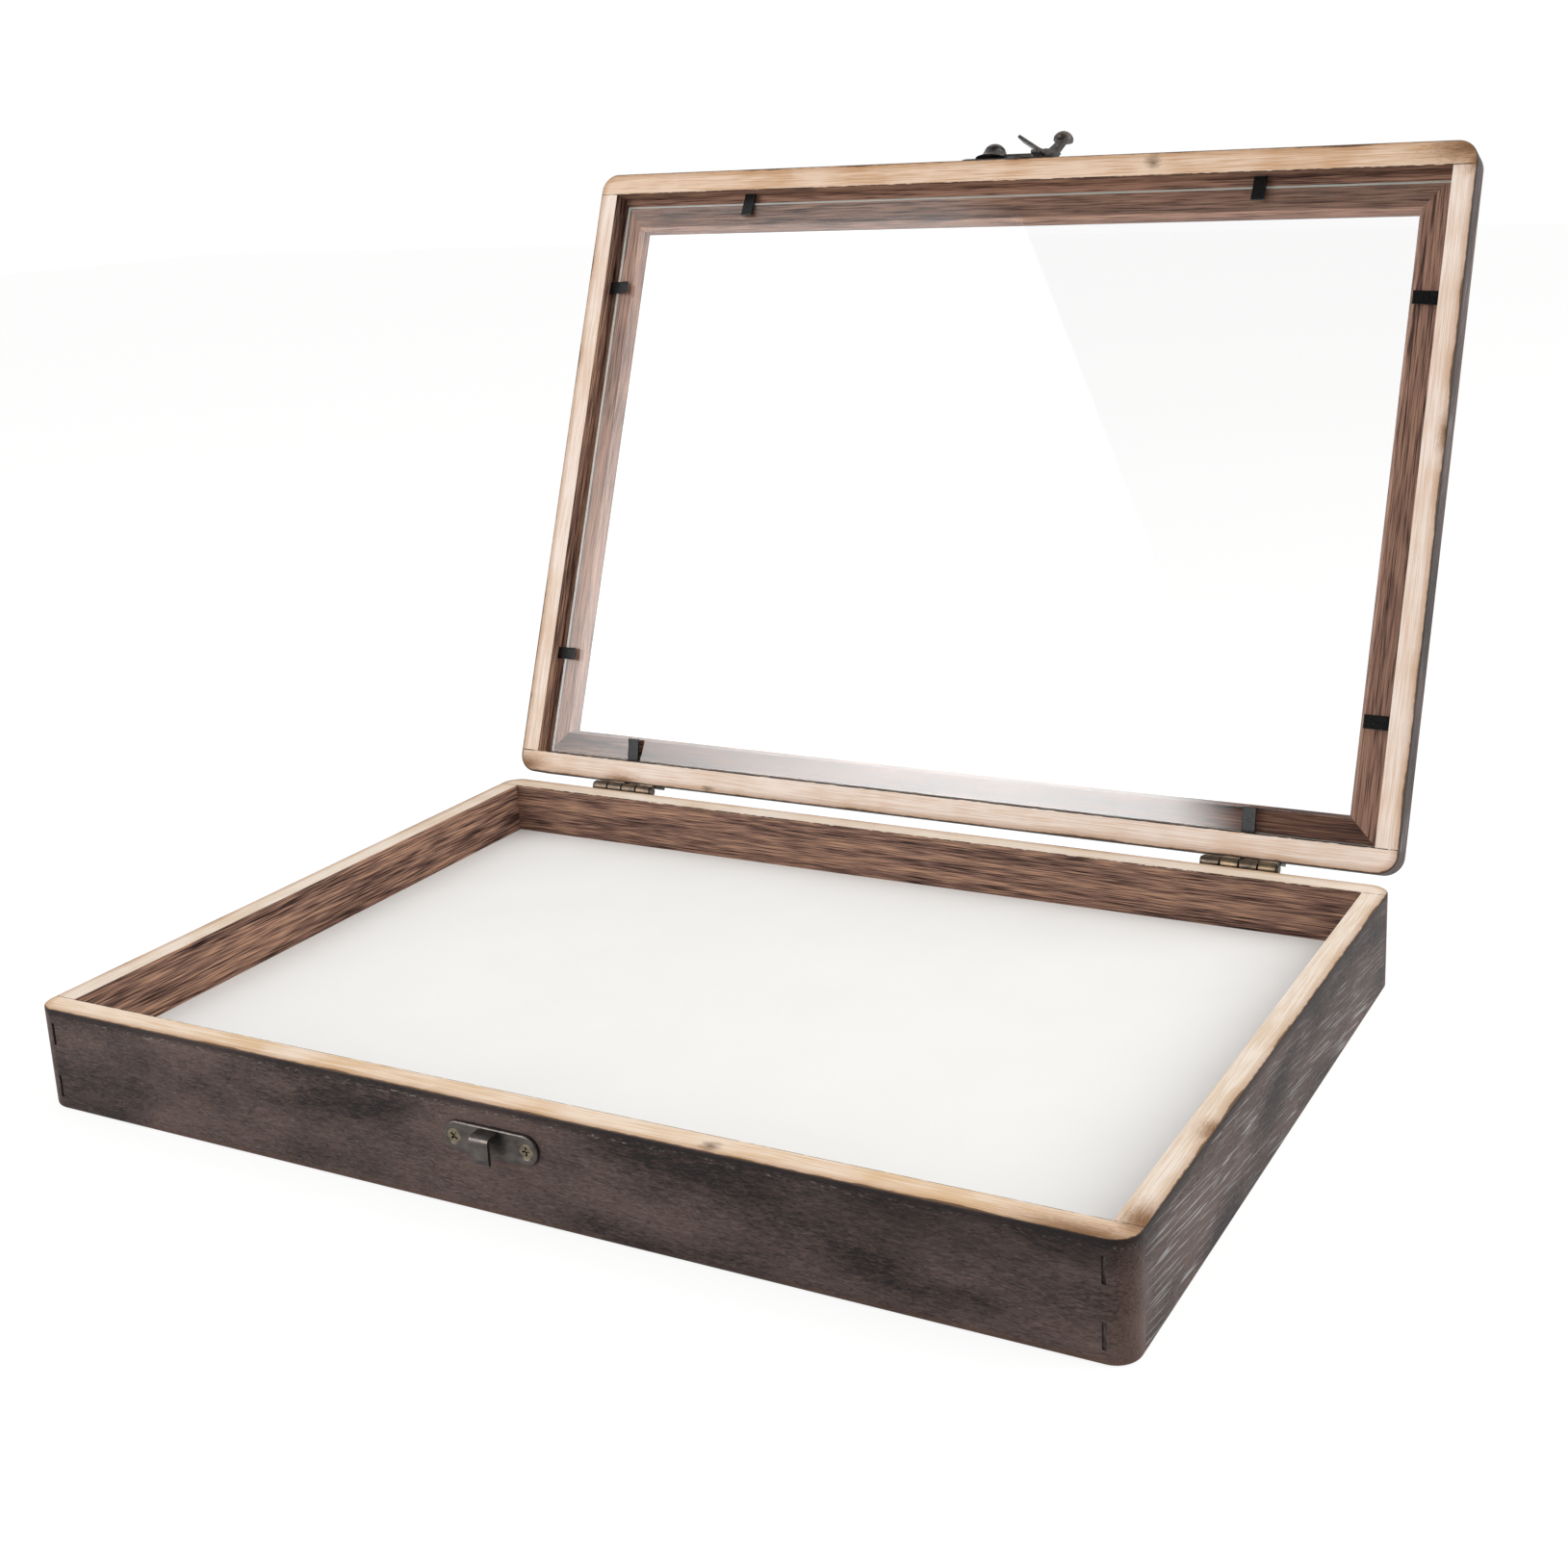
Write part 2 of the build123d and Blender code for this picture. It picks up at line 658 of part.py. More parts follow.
with BuildPart() as latch_hook:
    with BuildSketch(pivot_profile) as lever:
        with BuildLine():
            Polyline(
                (saddle_start, arm_top),
                (saddle_start, hook_bottom),
                (saddle_end, hook_bottom),
                (knob_along + neck_thickness / 2, neck_end),
                (knob_along - neck_thickness / 2, neck_end),
            )
            Spline(
                (knob_along - neck_thickness / 2, neck_end),
                (saddle_floor_along, saddle_floor),
                blade_root,
                tangents=(neck_direction, blade_lean),
            )
            Polyline(blade_root, blade_tip, blade_tip + blade_under, blade_root + blade_under)
            Spline(
                blade_root + blade_under,
                (saddle_start, arm_top),
                tangents=(-blade_lean, (0, -1)),
            )
        make_face()
        fillet(lever.vertices().sort_by_distance(blade_tip)[:2], blade_tip_round)
    extrude(amount=saddle_width / 2, both=True)
    with BuildSketch(latch_plane.offset(saddle_floor)):
        shoulder = (saddle_width - neck_width) / 2
        with Locations(((neck_start + knob_along + knob_radius) / 2, 0)):
            with GridLocations(0, neck_width + shoulder, 1, 2):
                Rectangle(knob_along + knob_radius - neck_start, shoulder)
    extrude(amount=neck_top, mode=Mode.SUBTRACT)
    with BuildSketch(pivot_profile):
        with BuildLine():
            Polyline(
                (hub_radius, hub_top),
                (0, hub_top),
                (0, hook_bottom),
                (hub_foot_radius, hook_bottom),
            )
            ThreePointArc(
                (hub_foot_radius, hook_bottom),
                ((hub_radius + hub_foot_radius) / 2 - hub_flare, (hook_bottom + hub_top) / 2 - hub_flare),
                (hub_radius, hub_top),
            )
        make_face()
    revolve(axis=pivot_axis)
    with BuildSketch(latch_plane.offset(hook_bottom)):
        with Locations((saddle_start / 2, 0)):
            Rectangle(saddle_start, arm_width)
    extrude(amount=arm_thickness)
    with BuildSketch(pivot_profile):
        with BuildLine():
            Polyline(
                (knob_along, knob_top),
                (knob_along, knob_base),
                (knob_along + knob_radius, knob_base),
                (knob_along + knob_radius, knob_edge),
            )
            RadiusArc((knob_along + knob_radius, knob_edge), (knob_along, knob_top), -knob_dome_radius)
        make_face()
    revolve(axis=knob_axis)
    with BuildSketch(latch_plane.offset(hook_bottom)) as claw:
        with Locations((claw_start + claw_length / 2, -claw_reach / 2)):
            Rectangle(claw_length, claw_reach)
        fillet(claw.vertices().sort_by(Axis.Y)[:2], claw_corner)
    extrude(amount=claw_thickness)
    with BuildSketch(latch_plane):
        Circle(rivet_shank_radius + hook_bore_clearance)
    extrude(amount=head_bottom, mode=Mode.SUBTRACT)
save(latch_hook.part, "latch_hook")
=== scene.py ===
"""Looks of the insect display box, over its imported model. Metres, +Z up, front towards -Y.

The file follows the case as it is put together, after the camera and the studio.
"""
import json
from math import pi, radians

import bmesh
import bpy
from mathutils import Matrix, Vector


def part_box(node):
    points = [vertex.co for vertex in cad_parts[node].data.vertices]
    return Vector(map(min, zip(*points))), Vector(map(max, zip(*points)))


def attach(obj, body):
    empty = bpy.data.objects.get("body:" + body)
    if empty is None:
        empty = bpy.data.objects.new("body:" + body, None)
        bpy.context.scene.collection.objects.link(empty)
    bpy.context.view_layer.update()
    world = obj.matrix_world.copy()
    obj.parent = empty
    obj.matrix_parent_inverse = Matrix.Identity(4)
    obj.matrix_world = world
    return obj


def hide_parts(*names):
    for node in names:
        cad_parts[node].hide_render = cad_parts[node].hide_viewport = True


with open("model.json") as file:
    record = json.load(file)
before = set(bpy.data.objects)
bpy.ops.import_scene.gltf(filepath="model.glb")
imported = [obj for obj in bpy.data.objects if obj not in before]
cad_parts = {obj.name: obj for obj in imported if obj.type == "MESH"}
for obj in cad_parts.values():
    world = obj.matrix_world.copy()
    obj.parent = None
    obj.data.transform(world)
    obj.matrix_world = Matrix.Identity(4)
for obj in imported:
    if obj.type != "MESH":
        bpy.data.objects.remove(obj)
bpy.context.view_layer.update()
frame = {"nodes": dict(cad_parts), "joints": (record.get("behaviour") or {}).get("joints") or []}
nodes = frame["nodes"]
mm = 0.001


# Camera, where the photograph was taken from: in front of the case and to its right, a little above.
# Its place, turn and lens were solved from the case's straight edges, in pixels of the photograph.
photo_px = 1629
focal_px = 2174.6
axis_px = (813.8, 733.8)
camera_place = Vector((273.70, -451.32, 237.24)) * mm
camera_yaw = radians(29.476)
camera_pitch = radians(-15.188)
camera_roll = radians(-2.843)
sensor_mm = 36.0

camera_data = bpy.data.cameras.new("camera")
camera_data.sensor_width = sensor_mm
camera_data.lens = focal_px / photo_px * sensor_mm
camera_data.shift_x = (photo_px / 2 - axis_px[0]) / photo_px
camera_data.shift_y = (axis_px[1] - photo_px / 2) / photo_px
camera_data.clip_start = 10 * mm
camera = bpy.data.objects.new("camera", camera_data)
camera.matrix_world = (
    Matrix.Translation(camera_place)
    @ Matrix.Rotation(camera_yaw, 4, "Z")
    @ Matrix.Rotation(pi / 2 + camera_pitch, 4, "X")
    @ Matrix.Rotation(camera_roll, 4, "Z")
)
bpy.context.collection.objects.link(camera)
bpy.context.scene.camera = camera
bpy.context.scene.view_settings.view_transform = "Standard"


# Studio: a white room with a pale floor, a softbox at the front left and another at the right.
# The pane mirrors a bright card at the left, whose right edge ends its veil, before a wide grey screen.
fill_level = 0.60
floor_colour = "f2f1ef"
floor_own_light = 0.85
floor_lit_share = 0.25
floor_size = 8.0
card_edge_high = Vector((-382, -502, 826)) * mm
card_edge_low = Vector((-161, -759, 437)) * mm
key_target = Vector((0, 150, 130)) * mm
key_width = 750 * mm
key_extra_height = 500 * mm
key_brightness = 1.6
side_place = Vector((950, 350, 750)) * mm
side_size = 900 * mm
side_brightness = 3.2
card_width = 2000 * mm
card_height = 2400 * mm
hot_spot = Vector((-350, -720, 415)) * mm
hot_reach = 520 * mm
card_brightness = 1.25
hot_brightness = 17
card_soft_edge = 60 * mm
screen_width = 3600 * mm
screen_gap = 20 * mm
screen_brightness = 0.15


def linear(colour):
    """Turn an sRGB hex colour into linear RGBA."""
    channels = [int(colour[start:start + 2], 16) / 255 for start in (0, 2, 4)]
    return [c / 12.92 if c <= 0.04045 else ((c + 0.055) / 1.055) ** 2.4 for c in channels] + [1.0]


def add_node(tree, kind, inputs=None, **settings):
    """Add a shader node. An input is a plain value, or a socket or a node's first output to link."""
    made = tree.nodes.new("ShaderNode" + kind)
    for name, value in settings.items():
        setattr(made, name, value)
    for name, value in (inputs or {}).items():
        if isinstance(value, bpy.types.Node):
            value = value.outputs[0]
        if isinstance(value, bpy.types.NodeSocket):
            tree.links.new(value, made.inputs[name])
        else:
            made.inputs[name].default_value = value
    return made


def start_material(name):
    """Start a material. Returns it with its node tree and its plain surface shader."""
    material = bpy.data.materials.new(name)
    material.use_nodes = True
    return material, material.node_tree, material.node_tree.nodes["Principled BSDF"]


def finished_object(name, mesh):
    """Turn a bmesh into an object of the scene."""
    data = bpy.data.meshes.new(name)
    mesh.to_mesh(data)
    mesh.free()
    made = bpy.data.objects.new(name, data)
    bpy.context.collection.objects.link(made)
    return made


def seen_rays(tree):
    """1 for the rays that show the room itself, straight, mirrored or through glass, and 0 for its light."""
    rays = add_node(tree, "LightPath").outputs
    seen = add_node(tree, "Math", {0: rays["Is Camera Ray"], 1: rays["Is Glossy Ray"]}, operation="MAXIMUM")
    return add_node(tree, "Math", {0: seen, 1: rays["Is Transmission Ray"]}, operation="MAXIMUM")


def area_light(name, middle, right, up, width, height, brightness):
    """Add a rectangular light that faces along up x right."""
    data = bpy.data.lights.new(name, "AREA")
    data.shape = "RECTANGLE"
    data.size = width
    data.size_y = height
    data.energy = brightness * pi * width * height
    light = bpy.data.objects.new(name, data)
    turn = Matrix((right, up, right.cross(up))).transposed()
    light.matrix_world = Matrix.Translation(middle) @ turn.to_4x4()
    bpy.context.collection.objects.link(light)
    return light


edge_middle = (card_edge_high + card_edge_low) / 2
card_up = (card_edge_high - card_edge_low).normalized()
card_right = card_up.cross(edge_middle - key_target).normalized()
card_away = card_right.cross(card_up)
key_height = (card_edge_high - card_edge_low).length + key_extra_height
key_middle = edge_middle - card_right * key_width / 2 + card_away * screen_gap * 2
key = area_light("key_softbox", key_middle, card_right, card_up, key_width, key_height, key_brightness)
key.visible_glossy = False

side_away = side_place.normalized()
side_right = Vector((0, 0, 1)).cross(side_away).normalized()
side_up = side_away.cross(side_right)
area_light("side_softbox", side_place, side_right, side_up, side_size, side_size, side_brightness)

# The card glows most about its hot spot and fades out at its right edge
card_middle = edge_middle - card_right * card_width / 2
card = area_light("mirrored_card", card_middle, card_right, card_up, card_width, card_height, 1.0)
card.visible_diffuse = False
card.visible_transmission = False
card.data.use_nodes = True
tree = card.data.node_tree
place = add_node(tree, "NewGeometry").outputs["Position"]
reach = add_node(tree, "VectorMath", {0: place, 1: hot_spot}, operation="DISTANCE").outputs["Value"]
glow = {"Value": reach, "From Max": hot_reach, "To Min": hot_brightness, "To Max": card_brightness}
glow = add_node(tree, "MapRange", glow, interpolation_type="SMOOTHSTEP")
across = add_node(tree, "VectorMath", {0: place, 1: card_right}, operation="DOT_PRODUCT").outputs["Value"]
edge_across = edge_middle.dot(card_right)
fade = {"Value": across, "From Min": edge_across, "From Max": edge_across - card_soft_edge}
fade = add_node(tree, "MapRange", fade, interpolation_type="SMOOTHSTEP")
level = add_node(tree, "Math", {0: glow, 1: fade}, operation="MULTIPLY")
tree.links.new(level.outputs[0], tree.nodes["Emission"].inputs["Strength"])

screen_place = Matrix.Translation(edge_middle + card_away * screen_gap)
screen_turn = Matrix((card_right, card_up, card_away)).transposed()
mesh = bmesh.new()
bmesh.ops.create_grid(mesh, x_segments=1, y_segments=1, size=screen_width / 2)
bmesh.ops.transform(mesh, matrix=screen_place @ screen_turn.to_4x4(), verts=mesh.verts)
screen = finished_object("grey_screen", mesh)
screen.visible_camera = False
screen.visible_diffuse = False
screen.visible_transmission = False
screen.visible_shadow = False
screen_cloth, tree, shader = start_material("grey_screen_cloth")
tree.nodes.remove(shader)
glow = add_node(tree, "Emission", {"Strength": screen_brightness})
tree.links.new(glow.outputs[0], tree.nodes["Material Output"].inputs["Surface"])
screen.data.materials.append(screen_cloth)

world = bpy.data.worlds.new("white_room")
world.use_nodes = True
bpy.context.scene.world = world
tree = world.node_tree
level = add_node(tree, "MapRange", {"Value": seen_rays(tree), "To Min": fill_level, "To Max": 1.0})
tree.nodes["Background"].inputs["Color"].default_value = (1, 1, 1, 1)
tree.links.new(level.outputs[0], tree.nodes["Background"].inputs["Strength"])

# The floor has its own light where it is seen, so it stays nearly white and its shadows faint
mesh = bmesh.new()
bmesh.ops.create_grid(mesh, x_segments=1, y_segments=1, size=floor_size / 2)
floor = finished_object("floor", mesh)
floor_paint, tree, shader = start_material("floor_paint")
tree.nodes.remove(shader)
plain = add_node(tree, "BsdfDiffuse", {"Color": linear(floor_colour)})
faint = add_node(tree, "BsdfDiffuse", {"Color": [c * floor_lit_share for c in linear(floor_colour)]})
glow = add_node(tree, "Emission", {"Strength": floor_own_light})
bright = add_node(tree, "AddShader", {0: faint, 1: glow})
both = add_node(tree, "MixShader", {0: seen_rays(tree), 1: plain, 2: bright})
tree.links.new(both.outputs[0], tree.nodes["Material Output"].inputs["Surface"])
floor.data.materials.append(floor_paint)


# Base boards: four 7 mm boards glued and stapled to a box, which was charred, brushed and waxed outside,
# stained inside, and then sawn in two, so the rim is bare wood with scorched edges.
# Sizes and places in the wood are in millimetres, on the shut case.
x_axis = 0
y_axis = 1
z_axis = 2
case_half_width = 150.0
case_half_depth = 106.2
case_corner = 6.0
board_thickness = 7.25
any_height = 1000.0

# Heights of the sawn rim and of the far face, which is the base's underside or the lid's top
sawn_levels = {"base": 28.3, "lid": 29.0}
far_levels = {"base": 0.0, "lid": 40.0}

hinge_joint = [joint for joint in frame["joints"] if joint["name"] == "lid_hinge"][0]
hinge_point = Vector(hinge_joint["pos_m"])
lid_opening = (
    Matrix.Translation(hinge_point)
    @ Matrix.Rotation(-radians(hinge_joint["range_deg"][1]), 4, "X")
    @ Matrix.Translation(-hinge_point)
)


def case_point(tree, half):
    """The point on the shut case, in millimetres, for a piece of the base or of the open lid."""
    place = add_node(tree, "TexCoord").outputs["Object"]
    if half == "lid":
        turn = lid_opening.to_euler()
        shut = {"Vector": place, "Location": lid_opening.to_translation(), "Rotation": turn}
        place = add_node(tree, "Mapping", shut, vector_type="TEXTURE")
    return add_node(tree, "VectorMath", {0: place, "Scale": 1 / mm}, operation="SCALE")


def fibres(tree, point, along, cell, detail=3.0, distortion=0.0):
    """Noise drawn out along one axis, as wood is along its grain. A cell is its length and width in mm.

    Real fibres and flecks are finer than the picture can show, so the cells are as coarse as they need to be.
    """
    length, width = cell
    scales = [1 / width, 1 / width, 1 / width]
    scales[along] = 1 / length
    stretched = add_node(tree, "VectorMath", {0: point, 1: scales}, operation="MULTIPLY")
    noise = {"Vector": stretched, "Scale": 1.0, "Detail": detail, "Distortion": distortion}
    return add_node(tree, "TexNoise", noise)


# In half sizes from its middle, where a mark begins and where it is full
mark_fade = (1.4, 0.1)


def marks(tree, point, places, ragged):
    """Ragged patches, each given by its middle and half sizes in millimetres on the shut case."""
    total = 0.0
    for middle, sizes in places:
        squeeze = [1 / size for size in sizes]
        shift = [-where / size for where, size in zip(middle, sizes)]
        around = add_node(tree, "VectorMath", {0: point, 1: squeeze, 2: shift}, operation="MULTIPLY_ADD")
        away = add_node(tree, "VectorMath", {0: around}, operation="LENGTH").outputs["Value"]
        away = add_node(tree, "Math", {0: away, 1: ragged}, operation="ADD")
        patch = {"Value": away, "From Min": mark_fade[0], "From Max": mark_fade[1]}
        patch = add_node(tree, "MapRange", patch)
        total = add_node(tree, "Math", {0: total, 1: patch}, operation="MAXIMUM")
    return total


def case_distances(tree, point, half):
    """How far the point is past the straight sides, in from the outline, and off the rim and far face."""
    outward = add_node(tree, "VectorMath", {0: point}, operation="ABSOLUTE")
    straight = (case_half_width - case_corner, case_half_depth - case_corner, any_height)
    outward = add_node(tree, "VectorMath", {0: outward, 1: straight}, operation="SUBTRACT")
    sides = add_node(tree, "SeparateXYZ", {0: outward}).outputs
    past = add_node(tree, "VectorMath", {0: outward, 1: (0, 0, 0)}, operation="MAXIMUM")
    past = add_node(tree, "VectorMath", {0: past}, operation="LENGTH").outputs["Value"]
    short = add_node(tree, "Math", {0: sides[x_axis], 1: sides[y_axis]}, operation="MAXIMUM")
    short = add_node(tree, "Math", {0: short, 1: 0.0}, operation="MINIMUM")
    inset = add_node(tree, "Math", {0: past, 1: short}, operation="ADD")
    inset = add_node(tree, "Math", {0: case_corner, 1: inset}, operation="SUBTRACT")
    height = add_node(tree, "SeparateXYZ", {0: point}).outputs[z_axis]
    from_rim = add_node(tree, "Math", {0: height, 1: sawn_levels[half]}, operation="SUBTRACT")
    from_rim = add_node(tree, "Math", {0: from_rim}, operation="ABSOLUTE")
    from_far = add_node(tree, "Math", {0: height, 1: far_levels[half]}, operation="SUBTRACT")
    from_far = add_node(tree, "Math", {0: from_far}, operation="ABSOLUTE")
    return {"sides": sides, "inset": inset, "rim": from_rim, "far": from_far}


# Charred outside: nearly black, brushed along the grain, with its edges rubbed back to brown and grey.
# The brush strokes have one cell for grain along x and one for y, and lean on the left and right.
# Light grey strokes are painted in as sheen, with one share for grain along x and one for y, far more on the
# side boards.
char_black = "262121"
char_brown = "64534e"
# Light grey painted in for the sheen of the brush strokes
char_sheen_grey = "a8abab"
worn_brown = "61483d"
worn_grey = "8c847d"
figure_cell = (2.4, 0.5)
patch_cell = (45.0, 16.0)
brush_cells = ((1.8, 0.36), (20.0, 0.50))
# Shares of painted sheen strokes, for grain along x and for grain along y
sheen_stroke_shares = (0.10, 0.70)
brush_lean = radians(7)
edge_wear = (2.2, 0.4)
corner_wear = 4.2
soot_band = (2.6, 1.0)
nick_depth = 2.0
nick_reach = (0.8, 0.3)


def charred_outside(tree, point, along, away, far, figure):
    """The colour of the charred outside with its painted sheen strokes, and its brush strokes for the relief.
    """
    patches = fibres(tree, point, along, patch_cell, 2.0)
    leaning = add_node(tree, "Mapping", {"Vector": point, "Rotation": (brush_lean, 0, 0)})
    brushing = fibres(tree, leaning, along, brush_cells[along], 2.0, 0.6)
    tone = add_node(tree, "Math", {0: patches, 1: 1.1, 2: figure}, operation="MULTIPLY_ADD")
    tone = add_node(tree, "MapRange", {"Value": tone, "From Min": 0.80, "From Max": 1.30})
    colour = {"Fac": tone, "Color1": linear(char_black), "Color2": linear(char_brown)}
    colour = add_node(tree, "MixRGB", colour)

    # Painted sheen: light grey strokes in clumps, fewer on the far face
    streak = {"Value": brushing, "From Min": 0.56, "From Max": 0.66, "To Max": sheen_stroke_shares[along]}
    streak = add_node(tree, "MapRange", streak)
    clump = {"Value": patches, "From Min": 0.38, "From Max": 0.60, "To Min": 0.12}
    clump = add_node(tree, "MapRange", clump)
    streak = add_node(tree, "Math", {0: streak, 1: clump}, operation="MULTIPLY")
    kept = add_node(tree, "MapRange", {"Value": far, "To Min": 1.0, "To Max": 0.25})
    streak = add_node(tree, "Math", {0: streak, 1: kept}, operation="MULTIPLY")
    colour = add_node(tree, "MixRGB", {"Fac": streak, "Color1": colour, "Color2": linear(char_sheen_grey)})

    # Brown wear along the edges of the far face and on the upright corners
    edge = add_node(tree, "Math", {0: away["far"], 1: away["inset"]}, operation="SUBTRACT")
    edge = add_node(tree, "Math", {0: edge}, operation="ABSOLUTE")
    edge = add_node(tree, "MapRange", {"Value": edge, "From Min": edge_wear[0], "From Max": edge_wear[1]})
    thin = add_node(tree, "MapRange", {"Value": patches, "From Min": 0.3, "From Max": 0.6, "To Max": 0.8})
    edge = add_node(tree, "Math", {0: edge, 1: thin}, operation="MULTIPLY")
    corner = {0: away["sides"][x_axis], 1: away["sides"][y_axis]}
    corner = add_node(tree, "Math", corner, operation="MINIMUM")
    corner = add_node(tree, "MapRange", {"Value": corner, "From Min": 0.0, "From Max": corner_wear})
    thin = add_node(tree, "MapRange", {"Value": figure, "From Min": 0.30, "From Max": 0.75, "To Max": 0.8})
    corner = add_node(tree, "Math", {0: corner, 1: thin}, operation="MULTIPLY")
    worn = add_node(tree, "Math", {0: edge, 1: corner}, operation="MAXIMUM")
    colour = add_node(tree, "MixRGB", {"Fac": worn, "Color1": colour, "Color2": linear(worn_brown)})

    # A band of soot under the sawn rim, with grey nicks in it
    soot = {"Value": away["rim"], "From Min": soot_band[0], "From Max": soot_band[1], "To Max": 0.75}
    soot = add_node(tree, "MapRange", soot)
    colour = add_node(tree, "MixRGB", {"Fac": soot, "Color1": colour, "Color2": linear(char_black)})
    lip = add_node(tree, "Math", {0: away["rim"], 1: nick_depth}, operation="SUBTRACT")
    lip = add_node(tree, "Math", {0: lip}, operation="ABSOLUTE")
    lip = add_node(tree, "MapRange", {"Value": lip, "From Min": nick_reach[0], "From Max": nick_reach[1]})
    nick = {"Value": brushing, "From Min": 0.60, "From Max": 0.70, "To Max": 0.7}
    nick = add_node(tree, "MapRange", nick)
    nick = add_node(tree, "Math", {0: lip, 1: nick}, operation="MULTIPLY")
    colour = add_node(tree, "MixRGB", {"Fac": nick, "Color1": colour, "Color2": linear(worn_grey)})
    return colour, brushing


# Stained inside: brown stain that sank in unevenly, dark in the pores and light on the hard grain
streak_cell = (13.0, 0.34)
band_cell = (70.0, 3.0)


def stained_inside(tree, point, along, stain):
    """The colour of the stained walls, in three tones, and their streaks for the relief."""
    dark, middle, light = stain
    streaks = fibres(tree, point, along, streak_cell, 4.0, 0.2)
    bands = fibres(tree, point, along, band_cell, 2.0, 0.3)
    tone = add_node(tree, "Math", {0: bands, 1: 0.4, 2: streaks}, operation="MULTIPLY_ADD")
    low = add_node(tree, "MapRange", {"Value": tone, "From Min": 0.54, "From Max": 0.69})
    high = add_node(tree, "MapRange", {"Value": tone, "From Min": 0.69, "From Max": 0.88})
    colour = add_node(tree, "MixRGB", {"Fac": low, "Color1": linear(dark), "Color2": linear(middle)})
    colour = add_node(tree, "MixRGB", {"Fac": high, "Color1": colour, "Color2": linear(light)})
    return colour, streaks


# Sawn rim: bare wood with a scorched outer edge, smears and small knots, and a dark seam where boards butt
scorch_gold = "b3845a"
scorch_brown = "3a2a22"
seam_dark = "3b2a20"
knot_grey = "8d7663"
rim_grain_cell = (14.0, 0.3)
wave_cell = (22.0, 22.0)
ragged_cell = (2.5, 0.8)
gold_edge = (2.6, 0.4)
brown_edge = (0.50, 0.20)
seam_width = (0.22, 0.08)


def sawn_rim(tree, point, along, away, smears, bare, knots):
    """The colour of the sawn rim, and its grain for the relief."""
    pale, deep = bare
    grain = fibres(tree, point, along, rim_grain_cell, 3.0)
    waves = fibres(tree, point, along, wave_cell, 3.0)
    ragged = fibres(tree, point, along, ragged_cell, 3.0)
    ragged = add_node(tree, "MapRange", {"Value": ragged, "To Min": -0.7, "To Max": 0.7})
    tone = add_node(tree, "Math", {0: waves, 1: 0.7, 2: grain}, operation="MULTIPLY_ADD")
    tone = add_node(tree, "MapRange", {"Value": tone, "From Min": 0.76, "From Max": 0.98})
    colour = add_node(tree, "MixRGB", {"Fac": tone, "Color1": linear(pale), "Color2": linear(deep)})

    # The scorch runs from gold to dark brown at the outer edge and in the middle of each smear
    lick = add_node(tree, "MapRange", {"Value": waves, "From Min": 0.50, "From Max": 0.70, "To Max": 0.5})
    depth = add_node(tree, "Math", {0: away["inset"], 1: lick}, operation="SUBTRACT")
    depth = add_node(tree, "Math", {0: ragged, 1: 0.45, 2: depth}, operation="MULTIPLY_ADD")
    tint = add_node(tree, "Math", {0: smears, 1: 0.95}, operation="MULTIPLY")
    gold = {"Value": depth, "From Min": gold_edge[0], "From Max": gold_edge[1], "To Max": 0.6}
    gold = add_node(tree, "MapRange", gold)
    gold = add_node(tree, "Math", {0: gold, 1: tint}, operation="MAXIMUM")
    colour = add_node(tree, "MixRGB", {"Fac": gold, "Color1": colour, "Color2": linear(scorch_gold)})
    brown = {"Value": depth, "From Min": brown_edge[0], "From Max": brown_edge[1], "To Max": 0.8}
    brown = add_node(tree, "MapRange", brown)
    core = add_node(tree, "MapRange", {"Value": smears, "From Min": 0.40, "From Max": 1.5})
    brown = add_node(tree, "Math", {0: brown, 1: core}, operation="MAXIMUM")
    colour = add_node(tree, "MixRGB", {"Fac": brown, "Color1": colour, "Color2": linear(scorch_brown)})

    knot = marks(tree, point, knots, ragged)
    colour = add_node(tree, "MixRGB", {"Fac": knot, "Color1": colour, "Color2": linear(knot_grey)})
    seam = {0: away["sides"][y_axis], 1: board_thickness - case_corner}
    seam = add_node(tree, "Math", seam, operation="ADD")
    seam = add_node(tree, "Math", {0: seam}, operation="ABSOLUTE")
    seam = add_node(tree, "MapRange", {"Value": seam, "From Min": seam_width[0], "From Max": seam_width[1]})
    gap = add_node(tree, "MapRange", {"Value": ragged, "From Min": -0.2, "From Max": 0.0})
    seam = add_node(tree, "Math", {0: seam, 1: gap}, operation="MULTIPLY")
    colour = add_node(tree, "MixRGB", {"Fac": seam, "Color1": colour, "Color2": linear(seam_dark)})
    return colour, grain


# Where bare rim, charred side and far face begin and are full, in millimetres off each face
rim_skin = (0.25, 0.05)
char_inset = (4.2, 3.4)
far_skin = (0.6, 0.2)
waxed_wood_specular = 0.07
stained_roughness = 0.58
charred_roughness = 0.48
sawn_roughness_more = 0.25
grain_relief = 0.25 * mm


